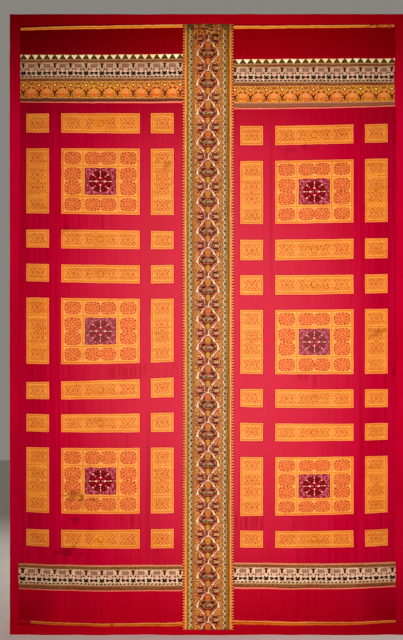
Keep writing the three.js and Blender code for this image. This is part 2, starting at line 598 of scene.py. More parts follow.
def faded(loom):
    """1 about the middle of the hanging, where highlight is painted palest, and 0 at its sides and ends.
    """
    off = loom.vector("MULTIPLY", loom.vector("SUBTRACT", loom.place, LAMP_POOL_MIDDLE), LAMP_POOL_SCALE)
    far = loom.vector("DOT_PRODUCT", off, off, output="Value")
    return loom.math("MULTIPLY_ADD", far, -LAMP_POOL_FALL, LAMP_POOL_FALL, clamp=True)


def to_right(loom):
    """0 at the left edge of the hanging, rising to 1 at the right panel's first column."""
    return inside(-500 - loom.across, 1700)


# The top rows of figures, arches and gold stripe end above this drop, and the lower ones are below it.
TOP_ROWS_END = 1000

# Places where the silk is stained or rubbed, as across, drop and size both ways.
Stain = namedtuple("Stain", "across drop half_width half_height strength")
STAINS = (
    Stain(-330, 1100, 80, 56, 0.5),
    Stain(-390, 3905, 60, 36, 0.3),
    Stain(-975, 3490, 90, 66, 0.5),
    Stain(-850, 3520, 170, 40, 0.5),
    Stain(-960, 3690, 80, 60, 0.35),
    Stain(-1010, 3900, 120, 70, 0.45),
    Stain(-1016, 1560, 70, 50, 0.35),
    Stain(1222, 2300, 80, 56, 0.35),
    Stain(590, 1010, 80, 46, 0.3),
    Stain(700, 950, 60, 40, 0.3),
    Stain(-540, 1035, 70, 40, 0.25),
)
# A stain's ragged outline: the level of its rags, how deep they cut in, and how soft the stain ends.
RAG_LEVEL = 0.34
RAG_DEPTH = 230
STAIN_SOFTNESS = 44

# Turns of the warp and the weft in a metre, for the relief of the weave, and its height in metres.
WARP_TURNS = (2400, 0, 300)
WEFT_TURNS = (0, 0, 1900)
WEAVE_HEIGHT = 0.0006


def finish_cloth(loom, roughness=0.6, gloss=0.25, worn=0.16, tint=(1, 1, 1, 1), stain_dye=None):
    """The common end of every finish: wear, streaks, weave relief and the cloth shader."""
    streak = loom.mottle(160, 2.2, detail=3)
    weft = loom.mottle(5, 260)
    patch = loom.mottle(3.1, 2.3, detail=4)
    if stain_dye:
        rags = loom.mottle(16, 22, detail=4)
        at = loom.spot(loom.across, loom.drop)
        for stain in STAINS:
            shape = leaf(at, stain.across, stain.drop, stain.half_width, stain.half_height)
            loom.lay(stain_dye, shape + (rags - RAG_LEVEL) * RAG_DEPTH, STAIN_SOFTNESS, stain.strength)
    shade = 1 - worn + (streak * 0.45 + weft * 0.4 + patch * 0.9) * (worn * 1.15)
    tone = loom.add("ShaderNodeCombineXYZ", inputs={"X": shade, "Y": shade, "Z": shade})
    warp = loom.math("SINE", loom.vector("DOT_PRODUCT", loom.place, WARP_TURNS, output="Value"))
    filling = loom.math("SINE", loom.vector("DOT_PRODUCT", loom.place, WEFT_TURNS, output="Value"))
    height = warp * 0.35 + filling * 0.3 + streak * 0.9
    relief = {"Strength": 0.35, "Distance": WEAVE_HEIGHT, "Height": height}
    shader = loom.add("ShaderNodeBsdfPrincipled", inputs={
        "Base Color": loom.vector("MULTIPLY", loom.colour, tone),
        "Roughness": roughness + (patch - 0.5) * 0.18 + (weft - 0.5) * 0.12,
        "Normal": loom.add("ShaderNodeBump", inputs=relief, output="Normal"),
        "Specular IOR Level": gloss,
        "Specular Tint": tint,
    })
    return close_finish(loom, shader)


def close_finish(loom, shader):
    end = loom.tree.nodes.new("ShaderNodeOutputMaterial")
    loom.tree.links.new(shader.socket, end.inputs["Surface"])
    return loom.material


# Half sizes of the gold blocks' motifs, and the places of the lines between their compartments.
SQUARE_HALF_WIDTH = 83.5
BAR_HALF_WIDTH = 285
ROW_HALF_HEIGHT = 68
BLOCK_HALF_HEIGHT = 237.5
UPRIGHT = 127
CROSSING = 109
# Distances of the small stars from the middle of a bar and of a column.
BAR_STARS = (58, 200)
COLUMN_STARS = (47, 168)
# Each way, the middles of a block's near and far medallions and half their size.
Lobes = namedtuple("Lobes", "middle half")
MEDALLIONS_ACROSS = (Lobes(57, 57), Lobes(202, 61))
MEDALLIONS_UP = (Lobes(50, 51), Lobes(167, 47))

# Rows where the satin is drawn into small pleats, as the drop of each row's middle and half its height.
# The shade of these pleats is painted as darker upright streaks.
PUCKERED_ROWS = ((2590, 50), (3680, 60))

GOLD = dyes(
    ground=(236, 152, 56), pale=(192, 132, 82), deep=(216, 124, 40), light=(255, 188, 112),
    edge=(250, 146, 104), fleck=(178, 92, 24), line=(204, 118, 30), brown=(176, 66, 4),
    medallion=(202, 100, 66), petal=(255, 154, 122), dash=(190, 72, 20), rim=(140, 50, 8),
    sheen=(240, 180, 120), stain=(118, 62, 8),
)

# The satin's top, low, hem, crease and pucker shade dyes paint light and shade, and its lamp pool dye
# paints a highlight.
SATIN = dyes(
    crimson=(183, 3, 58), light=(200, 10, 76), faded=(193, 66, 82), top_left=(117, 2, 7),
    top_right=(156, 2, 18), low_left=(204, 4, 44), low_right=(178, 2, 32), low_middle=(150, 2, 30),
    hem=(140, 2, 24), crease=(140, 4, 34), pucker=(140, 6, 20), block_rim=(132, 0, 8),
    sheen=(225, 60, 90), stain=(92, 22, 26),
)


def satin():
    loom = Loom("crimson_satin")
    streak = loom.mottle(60, 0.9, detail=3)
    glow = faded(loom)
    loom.ground(SATIN.crimson, SATIN.light, streak, 0.5, 0.25)
    # Painted highlight: paler, pinker silk about the middle, where the lamps light the hanging most.
    loom.colour = loom.mix(loom.colour, SATIN.faded, glow * 0.9)
    rightward = to_right(loom)
    # Painted shade and light: deeper at the top, low in the middle and at the hem, and brighter in the
    # lower left.
    loom.lay(loom.mix(SATIN.top_left, SATIN.top_right, rightward), loom.drop - 550, 900)
    loom.lay(loom.mix(SATIN.low_left, SATIN.low_right, rightward), 4200 - loom.drop, 800, 0.8)
    loom.lay(SATIN.low_middle, highest(1100 - abs(loom.across), loom.drop - 3400), 600, 0.25)
    loom.lay(SATIN.hem, highest(1200 - abs(loom.across), 4230 - loom.drop), 260, 0.45)
    at = loom.spot(loom.across, loom.drop)
    # Painted shade: each crease is a little darker down its right flank.
    shaded_flanks = [leaf(at, fold.across + fold.width * 0.35, (fold.top + fold.bottom) / 2,
                   (fold.bottom - fold.top) / 2, fold.width * 0.3, 90) for fold in CREASES]
    loom.lay(SATIN.crease, lowest(*shaded_flanks), 14, 0.22)
    # Painted shade of the small pleats: darker upright streaks in the puckered rows.
    pleat_shade_rows = lowest(*[abs(loom.drop - middle) - half for middle, half in PUCKERED_ROWS])
    here = loom.patches(2.6, 1.2, 0.52, 0.12)
    loom.lay(SATIN.pucker, pleat_shade_rows, 70, loom.patches(34, 1.6, 0.5, 0.12) * here * 0.4)
    rim = loom.add("ShaderNodeAttribute", {"attribute_name": "block_rim"}, output="Fac")
    loom.colour = loom.mix(loom.colour, SATIN.block_rim, rim * 0.8)
    return finish_cloth(loom, roughness=0.5, gloss=0.2, worn=0.1, tint=SATIN.sheen,
                        stain_dye=SATIN.stain)


def finish_gold(loom):
    return finish_cloth(loom, roughness=0.55, tint=GOLD.sheen, stain_dye=GOLD.stain)


def gold_ground(loom):
    """Gold weft over crimson, flecked with both, with a painted highlight paler about the middle of the
    hanging.
    """
    drift = loom.mottle(6, 9, detail=3)
    band = loom.mottle(2, 60)
    loom.ground(GOLD.ground, GOLD.deep, drift)
    # Painted highlight: paler gold about the middle, where the lamps light the hanging most.
    loom.colour = loom.mix(loom.colour, GOLD.pale, faded(loom) * 0.8)
    loom.lay(GOLD.light, 0.56 - band, 0.22, 0.3)
    loom.fleck(GOLD.light, 130, 130, 0.58, 0.12, 0.55)
    loom.fleck(GOLD.fleck, 100, 120, 0.6, 0.1, 0.4)


def frame_lines(loom, half_width, half_height, upright=None, crossing=None):
    """The pinkish edge, the inset line and the lines between the compartments of a gold block."""
    edge, line_inset, pale_inset, frame = 7, 13.5, 21, 17
    side, height = abs(loom.u), abs(loom.v)
    inset = lowest(half_width - side, half_height - height)
    loom.lay(GOLD.edge, inset - edge, 4, 0.7)
    lines = abs(inset - line_inset) - 3
    pale = abs(inset - pale_inset) - 2
    for middle, distance in ((upright, side), (crossing, height)):
        if middle:
            off = abs(distance - middle)
            lines = lowest(lines, highest(off - 2.6, frame - inset))
            pale = lowest(pale, highest(abs(off - edge) - 2.2, frame - inset))
    loom.lay(GOLD.light, pale, 2, 0.6)
    loom.lay(GOLD.line, lines, 3, 0.6)


def star_figure(loom, p, q, extra=None):
    """The small star: side brackets, slanting leaves, dots and a ring, dark beside pale."""
    spot = loom.spot(abs(p), abs(q))
    loom.lay(GOLD.medallion, leaf(spot, 0, 0, 58, 44), 20, 0.3)
    light = lowest(
        stroke(spot, 18, 2, 40, 28, 1.6), stroke(spot, 38, 2, 58, 24, 1.6), ring(spot, 0, 0, 17, 1.6),
        stroke(spot, 6, 29, 20, 36, 1.6), disc(spot, 0, 45, 4), disc(spot, 32, 40, 3.4),
        disc(spot, 52, 42, 3), disc(spot, 52, 8, 3), disc(spot, 20, 44, 2.6),
    )
    loom.lay(GOLD.light, light, 2.4, 0.75)
    dark = lowest(
        stroke(spot, 32, 0, 49, 23, 3), leaf(spot, 57, 24, 3, 8), leaf(spot, 28, 31, 6, 5, 45),
        disc(spot, 12.5, 40, 3.4), ring(spot, 0, 0, 10, 2), stroke(spot, 14, 10, 24, 17, 1.8),
        disc(spot, 0, 27, 3), disc(spot, 41, 38, 3), disc(spot, 26, 46, 2.4), disc(spot, 59, 38, 3),
        disc(spot, 18, 2, 2.6), disc(spot, 9, 19, 2.6),
    )
    if extra is not None:
        dark = lowest(dark, extra)
    broken = loom.patches(34, 34, 0.52, 0.2)
    loom.lay(GOLD.brown, dark, 2.2, broken * 0.45 + 0.4)


def gold_square():
    loom = Loom("gold_square")
    gold_ground(loom)
    star_figure(loom, loom.u, loom.v)
    frame_lines(loom, SQUARE_HALF_WIDTH, ROW_HALF_HEIGHT)
    return finish_gold(loom)


def gold_bar():
    """Three compartments: a star in each outer one, and a ring between half stars in the middle one."""
    loom = Loom("gold_bar")
    gold_ground(loom)
    side = abs(loom.u)
    inner, end = BAR_STARS
    outer = side > UPRIGHT
    p = side - inner - outer * (end - inner)
    spot = loom.spot(side, abs(loom.v))
    circle = lowest(
        ring(spot, 0, 0, 23, 3.6), disc(spot, 0, 42, 3.6), leaf(spot, 0, 9, 4, 3),
        disc(spot, 17, 38, 3.4), disc(spot, 33, 26, 3.4), disc(spot, 38, 4, 3),
        leaf(spot, 47, 18, 4, 7, 30), disc(spot, 36, 44, 3),
    )
    # The half star keeps only the side away from the ring.
    hidden = inside(highest(p, side - UPRIGHT), 1)
    star_figure(loom, p - hidden * 400, loom.v, circle)
    frame_lines(loom, BAR_HALF_WIDTH, ROW_HALF_HEIGHT, upright=UPRIGHT)
    return finish_gold(loom)


def gold_column():
    """Three compartments, with two stars in the middle one."""
    loom = Loom("gold_column")
    gold_ground(loom)
    height = abs(loom.v)
    inner, end = COLUMN_STARS
    q = height - inner - (height > CROSSING) * (end - inner)
    spot = loom.spot(abs(loom.u), height)
    cross = lowest(stroke(spot, 0, 0, 12, 10, 2.4), disc(spot, 13, 89, 3.4))
    star_figure(loom, loom.u, q, cross)
    frame_lines(loom, SQUARE_HALF_WIDTH, BLOCK_HALF_HEIGHT, crossing=CROSSING)
    return finish_gold(loom)


def gold_block():
    """A grid of lobed medallions round a mauve square with a dark star."""
    loom = Loom("gold_block")
    gold_ground(loom)
    side, height = abs(loom.u), abs(loom.v)
    past_upright, past_crossing = side > UPRIGHT, height > CROSSING
    near, far = MEDALLIONS_ACROSS
    p = (side - near.middle - past_upright * (far.middle - near.middle)) / (
        near.half + past_upright * (far.half - near.half))
    near, far = MEDALLIONS_UP
    q = (height - near.middle - past_crossing * (far.middle - near.middle)) / (
        near.half - past_crossing * (near.half - far.half))
    cell = loom.spot(p, q)
    squared = loom.vector("LENGTH", loom.vector("MULTIPLY", cell, cell), output="Value")
    radius = (loom.vector("LENGTH", cell, output="Value") + loom.math("SQRT", squared)) * 0.5
    radius = radius + (loom.mottle(60, 60) - 0.5) * 0.28
    turn = loom.math("ARCTAN2", q, p)
    scroll = loom.math("COSINE", turn * 14 + radius * 5)
    curl = loom.math("COSINE", turn * 8 - radius * 6)
    cross = loom.math("COSINE", turn * 4)
    loom.lay(GOLD.medallion, radius - 1, 0.14, 0.5)
    corner = loom.vector("SUBTRACT", loom.vector("ABSOLUTE", cell), (0.93, 0.92, 0))
    loom.lay(GOLD.light, loom.vector("LENGTH", corner, output="Value") - 0.12, 0.08, 0.6)
    loom.lay(GOLD.petal, lowest(
        highest(abs(radius - 1.03) - 0.06, scroll * 0.3),
        highest(abs(radius - 0.76) - 0.06, curl * 0.3 - 0.1),
        highest(abs(radius - 0.38) - 0.07, 0.05 - curl * 0.3), radius - 0.12,
    ), 0.08, 0.7)
    broken = loom.patches(40, 40, 0.5, 0.15) * 0.45 + 0.4
    loom.lay(GOLD.dash, lowest(
        highest(abs(radius - 0.56) - 0.085, 0.02 - curl * 0.3),
        highest(abs(radius - 0.24) - 0.08, 0.05 - cross * 0.3),
    ), 0.07, broken + 0.1)
    loom.lay(GOLD.rim, highest(abs(radius - 0.88) - 0.09, 0 - scroll * 0.3), 0.07, broken)
    frame_lines(loom, BAR_HALF_WIDTH, BLOCK_HALF_HEIGHT, UPRIGHT, CROSSING)
    star_square(loom, side, height)
    return finish_gold(loom)


STAR = dyes(
    mauve=(204, 112, 128), mauve_deep=(158, 54, 70), crumb=(128, 24, 52), cherry=(196, 18, 66),
    berry=(206, 40, 84), coral=(240, 120, 92), drop=(250, 196, 138), dulled=(150, 104, 108),
    maroon=(116, 4, 32), cream=(255, 196, 186),
)


def star_square(loom, side, height):
    """The mauve square with its dark eight-pointed star and pale drops."""
    gold = loom.colour
    spot = loom.spot(side, height)
    square = highest(side - 113, height - 96)
    loom.ground(STAR.mauve, STAR.mauve_deep, loom.mottle(60, 60), 0.5, 0.1)
    border = highest(-7 - square, loom.math("COSINE", loom.u * 0.13) * 9 - 2)
    crumbs = lowest(
        border, disc(spot, 90, 68, 8), disc(spot, 64, 86, 7), disc(spot, 102, 42, 7),
        disc(spot, 99, 16, 6), disc(spot, 28, 90, 6), stroke(spot, 80, 46, 94, 58, 3),
    )
    loom.lay(STAR.crumb, crumbs, 3, 0.9)
    ragged = loom.math("COSINE", (side - height) * 0.32) * 3
    star = lowest(leaf(spot, 0, 0, 83, 79), lozenge(spot, 0, 0, 98, 90) * 0.7)
    loom.lay(STAR.maroon, star + ragged, 3)
    loom.lay(STAR.cherry, lowest(disc(spot, 26, 12, 9), disc(spot, 12, 24, 7)), 6, 0.8)
    loom.lay(STAR.berry, lowest(disc(spot, 60, 18, 5), disc(spot, 44, 52, 4), disc(spot, 20, 60, 4)),
             4, 0.8)
    loom.lay(STAR.coral, leaf(spot, 38, 34, 9, 4, -46), 2.4)
    loom.lay(STAR.drop, lowest(leaf(spot, 74, 0, 12, 3.8), leaf(spot, 0, 68, 3.6, 12)), 2.4)
    loom.lay(STAR.cream, lowest(
        leaf(spot, 32, 0, 10.5, 6), leaf(spot, 53, 0, 4.5, 3), leaf(spot, 0, 27, 6.4, 8),
        leaf(spot, 0, 47, 3.6, 4), leaf(spot, 54, 47, 8, 4.8, 40), disc(spot, 11, 4, 2.6),
    ), 2.4)
    loom.lay(STAR.dulled, abs(loom.drop - 2340) - 320, 60, 0.3)
    loom.colour = loom.mix(gold, loom.colour, inside(square))


FIGURE_PITCH = 113.7

FIGURES = dyes(
    ground=(240, 204, 168), ground_worn=(208, 166, 140), ground_above=(160, 116, 90),
    rose=(224, 166, 154), edge=(176, 146, 100), net_ground=(226, 172, 146), net=(62, 32, 18),
    dot=(255, 240, 214), bow_bar=(74, 50, 24), stem=(92, 16, 14), dark=(30, 4, 4),
)


def figures():
    """Dark geometric figures on a pale ground: a stem over a cross, and a lattice over a bow."""
    loom = Loom("figured_band")
    v = loom.v
    stem = abs(from_repeat(loom.u, FIGURE_PITCH))
    between = from_repeat(loom.u + FIGURE_PITCH / 2, FIGURE_PITCH)
    beside = abs(between)
    at_stem, at_between = loom.spot(stem, v), loom.spot(beside, v)
    loom.ground(FIGURES.ground, FIGURES.ground_worn, loom.mottle(14, 40))
    # Painted shade: the ground of the top rows is darker.
    loom.lay(FIGURES.ground_above, loom.drop - TOP_ROWS_END, 10, 0.3)
    loom.lay(FIGURES.rose, leaf(at_between, 0, 53, 17, 15), 10, 0.7)
    loom.lay(FIGURES.edge, lowest(v - 5, 109 - v), 4, 0.8)
    window = highest(beside - 25, abs(v - 25) - 13)
    net = FIGURE_PITCH / 7
    lattice = lowest(abs(from_repeat(between + v, net)), abs(from_repeat(between - v, net))) - 2.7
    loom.lay(FIGURES.net_ground, window, 4, 0.5)
    loom.lay(FIGURES.net, highest(lattice, window), 3, 0.95)
    dots = lowest(disc(at_stem, 13, 45, 4.5), disc(at_stem, 21, 66, 5), disc(at_stem, 24, 94, 5),
                  disc(at_between, 0, 66, 5))
    loom.lay(FIGURES.dot, dots, 4, 0.85)
    loom.lay(FIGURES.bow_bar, highest(beside - 10, abs(v - 76) - 3.8), 2)
    dash = from_repeat(loom.u + 6, FIGURE_PITCH / 4)
    top = lowest(highest(stem - 15 + (v - 8) * 0.7, abs(v - 13) - 6), highest(stem - 7, abs(v - 24) - 16))
    loom.lay(FIGURES.stem, top)
    dark = lowest(
        lozenge(at_stem, 17, 48, 8, 7), stroke(at_stem, 1, 80, 16, 67, 6),
        highest(stem - (v - 72) * 1.2, abs(v - 82) - 8),
        highest(beside - 26, 6 - beside, abs(v - 78.5) - (beside - 1) * 0.5),
        highest(abs(beside - 16) - 6, abs(v - 78.5) - 8.5),
        highest(abs(beside - 20.5) - 4, abs(v - 51) - 6),
        leaf(loom.spot(dash, v), 0, 103, 9.5, 4.4, -12),
    )
    loom.lay(FIGURES.dark, dark)
    return finish_cloth(loom, roughness=0.7, worn=0.25)


TRIANGLES = dyes(
    brown=(142, 100, 50), brown_deep=(124, 72, 32), olive=(66, 50, 16), tip=(84, 46, 14),
    cream=(255, 222, 170), cream_light=(255, 244, 206), top_line=(240, 166, 130),
    foot_line=(178, 148, 92),
)


def triangles():
    loom = Loom("triangle_row")
    v = loom.v
    from_dark = abs(from_repeat(loom.u, FIGURE_PITCH / 2))
    loom.ground(TRIANGLES.brown, TRIANGLES.brown_deep, loom.mottle(4, 20))
    loom.lay(TRIANGLES.olive, leaf(loom.spot(from_dark, v), 14, 24, 11, 7, 24), 4)
    loom.lay(TRIANGLES.tip, leaf(loom.spot(from_dark, v), 0, 6, 7, 7), 4, 0.7)
    cream = highest(4 + v * 0.66 - from_dark, v - 31)
    loom.lay(loom.mix(TRIANGLES.cream, TRIANGLES.cream_light, loom.patches(3, 3, 0.5, 0.2)), cream, 3)
    loom.lay(TRIANGLES.top_line, v - 3, 4, 0.6)
    loom.lay(TRIANGLES.foot_line, 31 - v, 3)
    return finish_cloth(loom, roughness=0.7, worn=0.12)


ARCADE = dyes(
    gold=(220, 156, 42), orange=(226, 136, 60), dark_fleck=(150, 88, 22),
    light_fleck=(255, 206, 120), arch=(234, 148, 78), arch_deep=(218, 122, 36),
    speck=(255, 190, 130), flame=(228, 96, 20), ring=(132, 84, 10), lozenge=(236, 160, 124),
    berry=(240, 96, 40), stem=(104, 24, 26), leaf=(116, 62, 14), dot=(255, 246, 206),
    top_line=(232, 168, 124),
)


def arcade():
    """Arches with a rosy filling, and branching stems under a white dot in a ring."""
    loom = Loom("arcade_band")
    v = loom.v
    stem = abs(from_repeat(loom.u, FIGURE_PITCH))
    beside = abs(from_repeat(loom.u + FIGURE_PITCH / 2, FIGURE_PITCH))
    at_stem, at_arch = loom.spot(stem, v), loom.spot(beside, v)
    loom.ground(ARCADE.gold, ARCADE.orange, loom.mottle(2.2, 1))
    loom.fleck(ARCADE.dark_fleck, 80, 80, 0.55, 0.08, 0.75)
    loom.fleck(ARCADE.light_fleck, 110, 110, 0.6, 0.1, 0.9)
    fill = loom.mix(ARCADE.arch, ARCADE.arch_deep, loom.patches(90, 90, 0.5, 0.12))
    loom.lay(fill, leaf(at_arch, 0, 74, 37, 26), 10, 0.8)
    specks = lowest(abs(from_repeat(loom.u + v, 15)), abs(from_repeat(loom.u - v, 15))) - 2
    loom.lay(ARCADE.speck, highest(specks, leaf(at_arch, 0, 70, 26, 18)), 2.4, 0.7)
    loom.lay(ARCADE.flame, lowest(leaf(at_arch, 0, 95, 14, 6), leaf(at_arch, 26, 98, 9, 4.6, -20)),
             5, 0.9)
    loom.lay(ARCADE.ring, ring(at_stem, 0, 27, 11.5, 3.4), 3, 0.75)
    loom.lay(ARCADE.lozenge, lozenge(at_arch, 0, 35, 9, 9), 4, 0.9)
    loom.lay(ARCADE.berry, disc(at_stem, 0, 51, 7), 4, 0.9)
    loom.lay(ARCADE.stem, lowest(
        stroke(at_stem, 0, 86, 17, 59, 4.4), stroke(at_stem, 0, 70, 0, 110, 5),
        leaf(at_stem, 12, 92, 7, 3.4, 30), leaf(at_stem, 18, 108, 7, 3.4, -10),
        leaf(at_stem, 20, 10, 5, 3, 30), stroke(at_arch, 9, 42, 26, 54, 4), disc(at_arch, 26, 22, 3.4),
    ), 2.5, 0.95)
    loom.lay(ARCADE.leaf, lowest(leaf(at_arch, 0, 20, 11, 4), disc(at_arch, 10, 13, 5)), 2.5, 0.9)
    loom.lay(ARCADE.dot, disc(at_stem, 0, 27, 5.6), 3)
    loom.lay(ARCADE.top_line, v - 3, 3, 0.8)
    return finish_cloth(loom, roughness=0.6, worn=0.2)


STRIPE = dyes(
    brown=(130, 78, 42), tan=(176, 128, 78), rosy=(140, 60, 36), low_left=(104, 44, 30),
    low_right=(170, 112, 84), low_line=(150, 92, 74), pale_line=(206, 150, 112),
)


def stripe():
    """A brown stripe under a pale line, with rosy and olive flecks."""
    loom = Loom("brown_stripe")
    loom.ground(STRIPE.brown, STRIPE.tan, loom.mottle(60, 160), 0.54, 0.2)
    loom.fleck(STRIPE.rosy, 3, 5, 0.54, 0.12, 0.5)
    under_arcade = highest(603 - loom.drop, loom.drop - 900)
    loom.lay(loom.mix(STRIPE.low_left, STRIPE.low_right, inside(0 - loom.across, 100)),
             under_arcade, 8, 0.85)
    loom.lay(STRIPE.low_line, highest(under_arcade, abs(loom.v - 12) - 2), 2, 0.7)
    loom.lay(STRIPE.pale_line, loom.v - 4, 3, 0.85)
    return finish_cloth(loom, roughness=0.65, worn=0.2)


PALE_LINE = dyes(rose=(246, 142, 120), orange=(226, 132, 96), edge=(120, 60, 34))


def pale_line():
    loom = Loom("pale_line")
    loom.ground(PALE_LINE.rose, PALE_LINE.orange, loom.mottle(6, 90))
    loom.lay(PALE_LINE.edge, loom.v - 4.5, 3)
    return finish_cloth(loom, roughness=0.55, worn=0.2)


# Where the lower gold stripe is broken or worn through, as across and half width.
STRIPE_BREAKS = ((-1340, 66), (-694, 14), (1039, 12))

GOLD_STRIPE = dyes(
    gold=(238, 150, 44), gold_deep=(222, 126, 34), low_gold=(255, 198, 88), edge=(250, 168, 104),
    foot=(206, 100, 24), low_foot=(255, 156, 40), middle=(168, 84, 14), frayed=(132, 60, 56),
    gap=(168, 4, 30), rubbed=(176, 20, 30), torn=(188, 2, 42),
)


def gold_stripe():
    """The end stripe: gold with rosy edges, ragged and worn through in places."""
    loom = Loom("gold_end_stripe")
    fray = loom.mottle(26, 60, detail=4)
    middle = abs(loom.v - 13.5)
    loom.ground(GOLD_STRIPE.gold, GOLD_STRIPE.gold_deep, loom.mottle(9, 40))
    loom.lay(GOLD_STRIPE.low_gold, loom.drop - TOP_ROWS_END, 10, 0.9)
    loom.lay(GOLD_STRIPE.edge, loom.v - 8, 3, 0.8)
    loom.lay(GOLD_STRIPE.foot, highest(19 - loom.v, TOP_ROWS_END - loom.drop), 3, 0.8)
    loom.lay(GOLD_STRIPE.low_foot, highest(17 - loom.v, loom.drop - TOP_ROWS_END), 3, 0.8)
    loom.lay(GOLD_STRIPE.middle, abs(loom.v - 14) - 2.4, 2.5, 0.9)
    loom.lay(GOLD_STRIPE.frayed, loom.v - 1.5 - fray * 5, 3, 0.9)
    loom.lay(GOLD_STRIPE.gap, 15 - middle - fray * 8, 2)
    rubbed = highest(1150 - loom.across, loom.drop - TOP_ROWS_END)
    loom.lay(GOLD_STRIPE.rubbed, rubbed, 60, loom.patches(60, 90, 0.5, 0.1) * 0.8)
    for across, half_width in STRIPE_BREAKS:
        torn = highest(abs(loom.across - across) - half_width + fray * 20, 4000 - loom.drop)
        loom.lay(GOLD_STRIPE.torn, torn, 10)
    return finish_cloth(loom, roughness=0.5, worn=0.25)


REVERSE = dyes(red=(128, 14, 30), rust=(142, 40, 30))


def reverse():
    """The back of the woven silk, duller and with a faint ghost of the weft."""
    loom = Loom("silk_reverse")
    loom.ground(REVERSE.red, REVERSE.rust, loom.mottle(2, 30, detail=3), 0.5, 0.4)
    return finish_cloth(loom, roughness=0.75)


BLOCK_FINISHES = ("square", "bar", "column", "block")

# The pale straps of the figured band: the length of a repeat, how far their middle lies to the left of
# the band's, the share of a repeat over which their slope is read, and then half the width between
# them and half their own width, at shares of a repeat.
BAND_REPEAT = 212
STRAPS_ASIDE = 2
SLOPE_STEP = 0.012
STRAP_SPREAD = (
    (0.0, 3), (0.03, 9), (0.06, 17), (0.1, 28), (0.135, 35), (0.17, 40), (0.21, 45), (0.255, 49),
    (0.28, 53), (0.3, 59), (0.335, 67), (0.37, 72), (0.42, 75), (0.49, 77), (0.52, 76), (0.56, 68),
    (0.613, 55), (0.664, 43), (0.7, 38), (0.735, 35.5), (0.76, 30), (0.79, 20), (0.857, 9), (0.93, 4),
    (1.0, 3),
)
STRAP_HALF = (
    (0.0, 4), (0.03, 2.6), (0.07, 2.4), (0.12, 4.4), (0.17, 6), (0.23, 7), (0.256, 5), (0.268, 0.6),
    (0.285, 1.4), (0.32, 3.8), (0.38, 5.4), (0.45, 6), (0.475, 8.6), (0.5, 9), (0.525, 6), (0.54, 2),
    (0.58, 2.8), (0.65, 4.4), (0.69, 5.4), (0.71, 8.5), (0.735, 9.5), (0.755, 6), (0.768, 0.6),
    (0.79, 1.8), (0.83, 3.8), (0.93, 4), (1.0, 4),
)


def read_curve(loom, share, table):
    """A table read at a share of the repeat."""
    node = loom.tree.nodes.new("ShaderNodeFloatCurve")
    curve = node.mapping.curves[0]
    curve.points[0].location = (0, table[0][1] / 100)
    curve.points[1].location = (1, table[-1][1] / 100)
    for at, width in table[1:-1]:
        curve.points.new(at, width / 100).handle_type = "VECTOR"
    node.mapping.update()
    loom.tree.links.new(share.socket, node.inputs["Value"])
    return Yarn(loom, node.outputs["Value"]) * 100


FIELD = dyes(
    brown=(166, 98, 36), pale=(248, 182, 104), orange=(206, 124, 66), fleck=(112, 64, 26),
    blade=(150, 66, 44), blade_pale=(240, 160, 122), leaf=(72, 6, 12), coral=(236, 134, 104),
    egg_lilac=(192, 150, 138), egg_green=(176, 178, 128), egg_light=(226, 176, 160),
    space=(150, 64, 34), dome_outline=(76, 28, 8), dome_gold=(230, 156, 62),
    dome_orange=(234, 132, 62), dome_mark=(160, 76, 26), dome_foot=(182, 142, 104),
    wing=(80, 4, 10), wing_coral=(240, 132, 98), eye_outline=(84, 46, 20),
    eye_olive=(164, 146, 106), eye_tan=(214, 168, 118), eye_dark=(74, 68, 28),
    eye_light=(186, 172, 160), bud_outline=(100, 48, 18), bud_gold=(222, 162, 50),
    bud_orange=(232, 150, 66), bud_mark=(168, 104, 34), plum=(84, 26, 40),
    strap_outline=(70, 20, 12), strap_cream=(255, 220, 176), strap_rosy=(255, 196, 172),
    knot=(246, 204, 184), strap_under=(136, 66, 56), edge_left=(190, 112, 60),
    edge_right=(204, 122, 76), top_red=(88, 8, 16), top_gold=(250, 160, 44),
    top_cream=(255, 224, 170),
)


def band_field():
    """Pale straps that cross and swell, with a dome, an eye and a bud in each space."""
    loom = Loom("band_field")
    middle = loom.u + STRAPS_ASIDE
    side = abs(middle)
    repeat = loom.v / BAND_REPEAT
    share = repeat % 1
    down = loom.v % BAND_REPEAT
    near = from_repeat(down, BAND_REPEAT)
    spot, at_crossing, exact = loom.spot(side, down), loom.spot(side, near), loom.spot(middle, down)
    right = middle > 0
    spread = read_curve(loom, share, STRAP_SPREAD)
    ahead = read_curve(loom, (repeat + SLOPE_STEP) % 1, STRAP_SPREAD)
    slope = (ahead - spread) / (SLOPE_STEP * BAND_REPEAT)
    from_strap = (side - spread) * loom.math("INVERSE_SQRT", slope * slope + 1)
    loom.ground(FIELD.brown, FIELD.pale, loom.mottle(110, 110), 0.5, 0.07)
    loom.fleck(FIELD.orange, 9, 6, 0.5, 0.14, 0.5)
    loom.fleck(FIELD.fleck, 90, 90, 0.6, 0.06, 0.9)
    leaves_by_crossing(loom, at_crossing, side, near, right)
    dome_eye_and_bud(loom, from_strap, spot, exact)
    straps(loom, from_strap, share, middle, down, near)
    loom.lay(FIELD.edge_left, highest(loom.u + 97, -109 - loom.u), 2.5, 0.9)
    loom.lay(FIELD.edge_right, highest(92 - loom.u, loom.u - 103), 3, 0.8)
    loom.lay(FIELD.top_red, loom.drop - 180, 40, loom.patches(50, 50, 0.52, 0.08) * 0.8)
    loom.lay(FIELD.top_gold, loom.drop - 150, 30, loom.patches(44, 44, 0.54, 0.06) * 0.8)
    loom.lay(FIELD.top_cream, loom.drop - 150, 30, loom.patches(70, 70, 0.62, 0.05) * 0.8)
    darken_top_and_middle(loom)
    return finish_cloth(loom, roughness=0.65, worn=0.3)


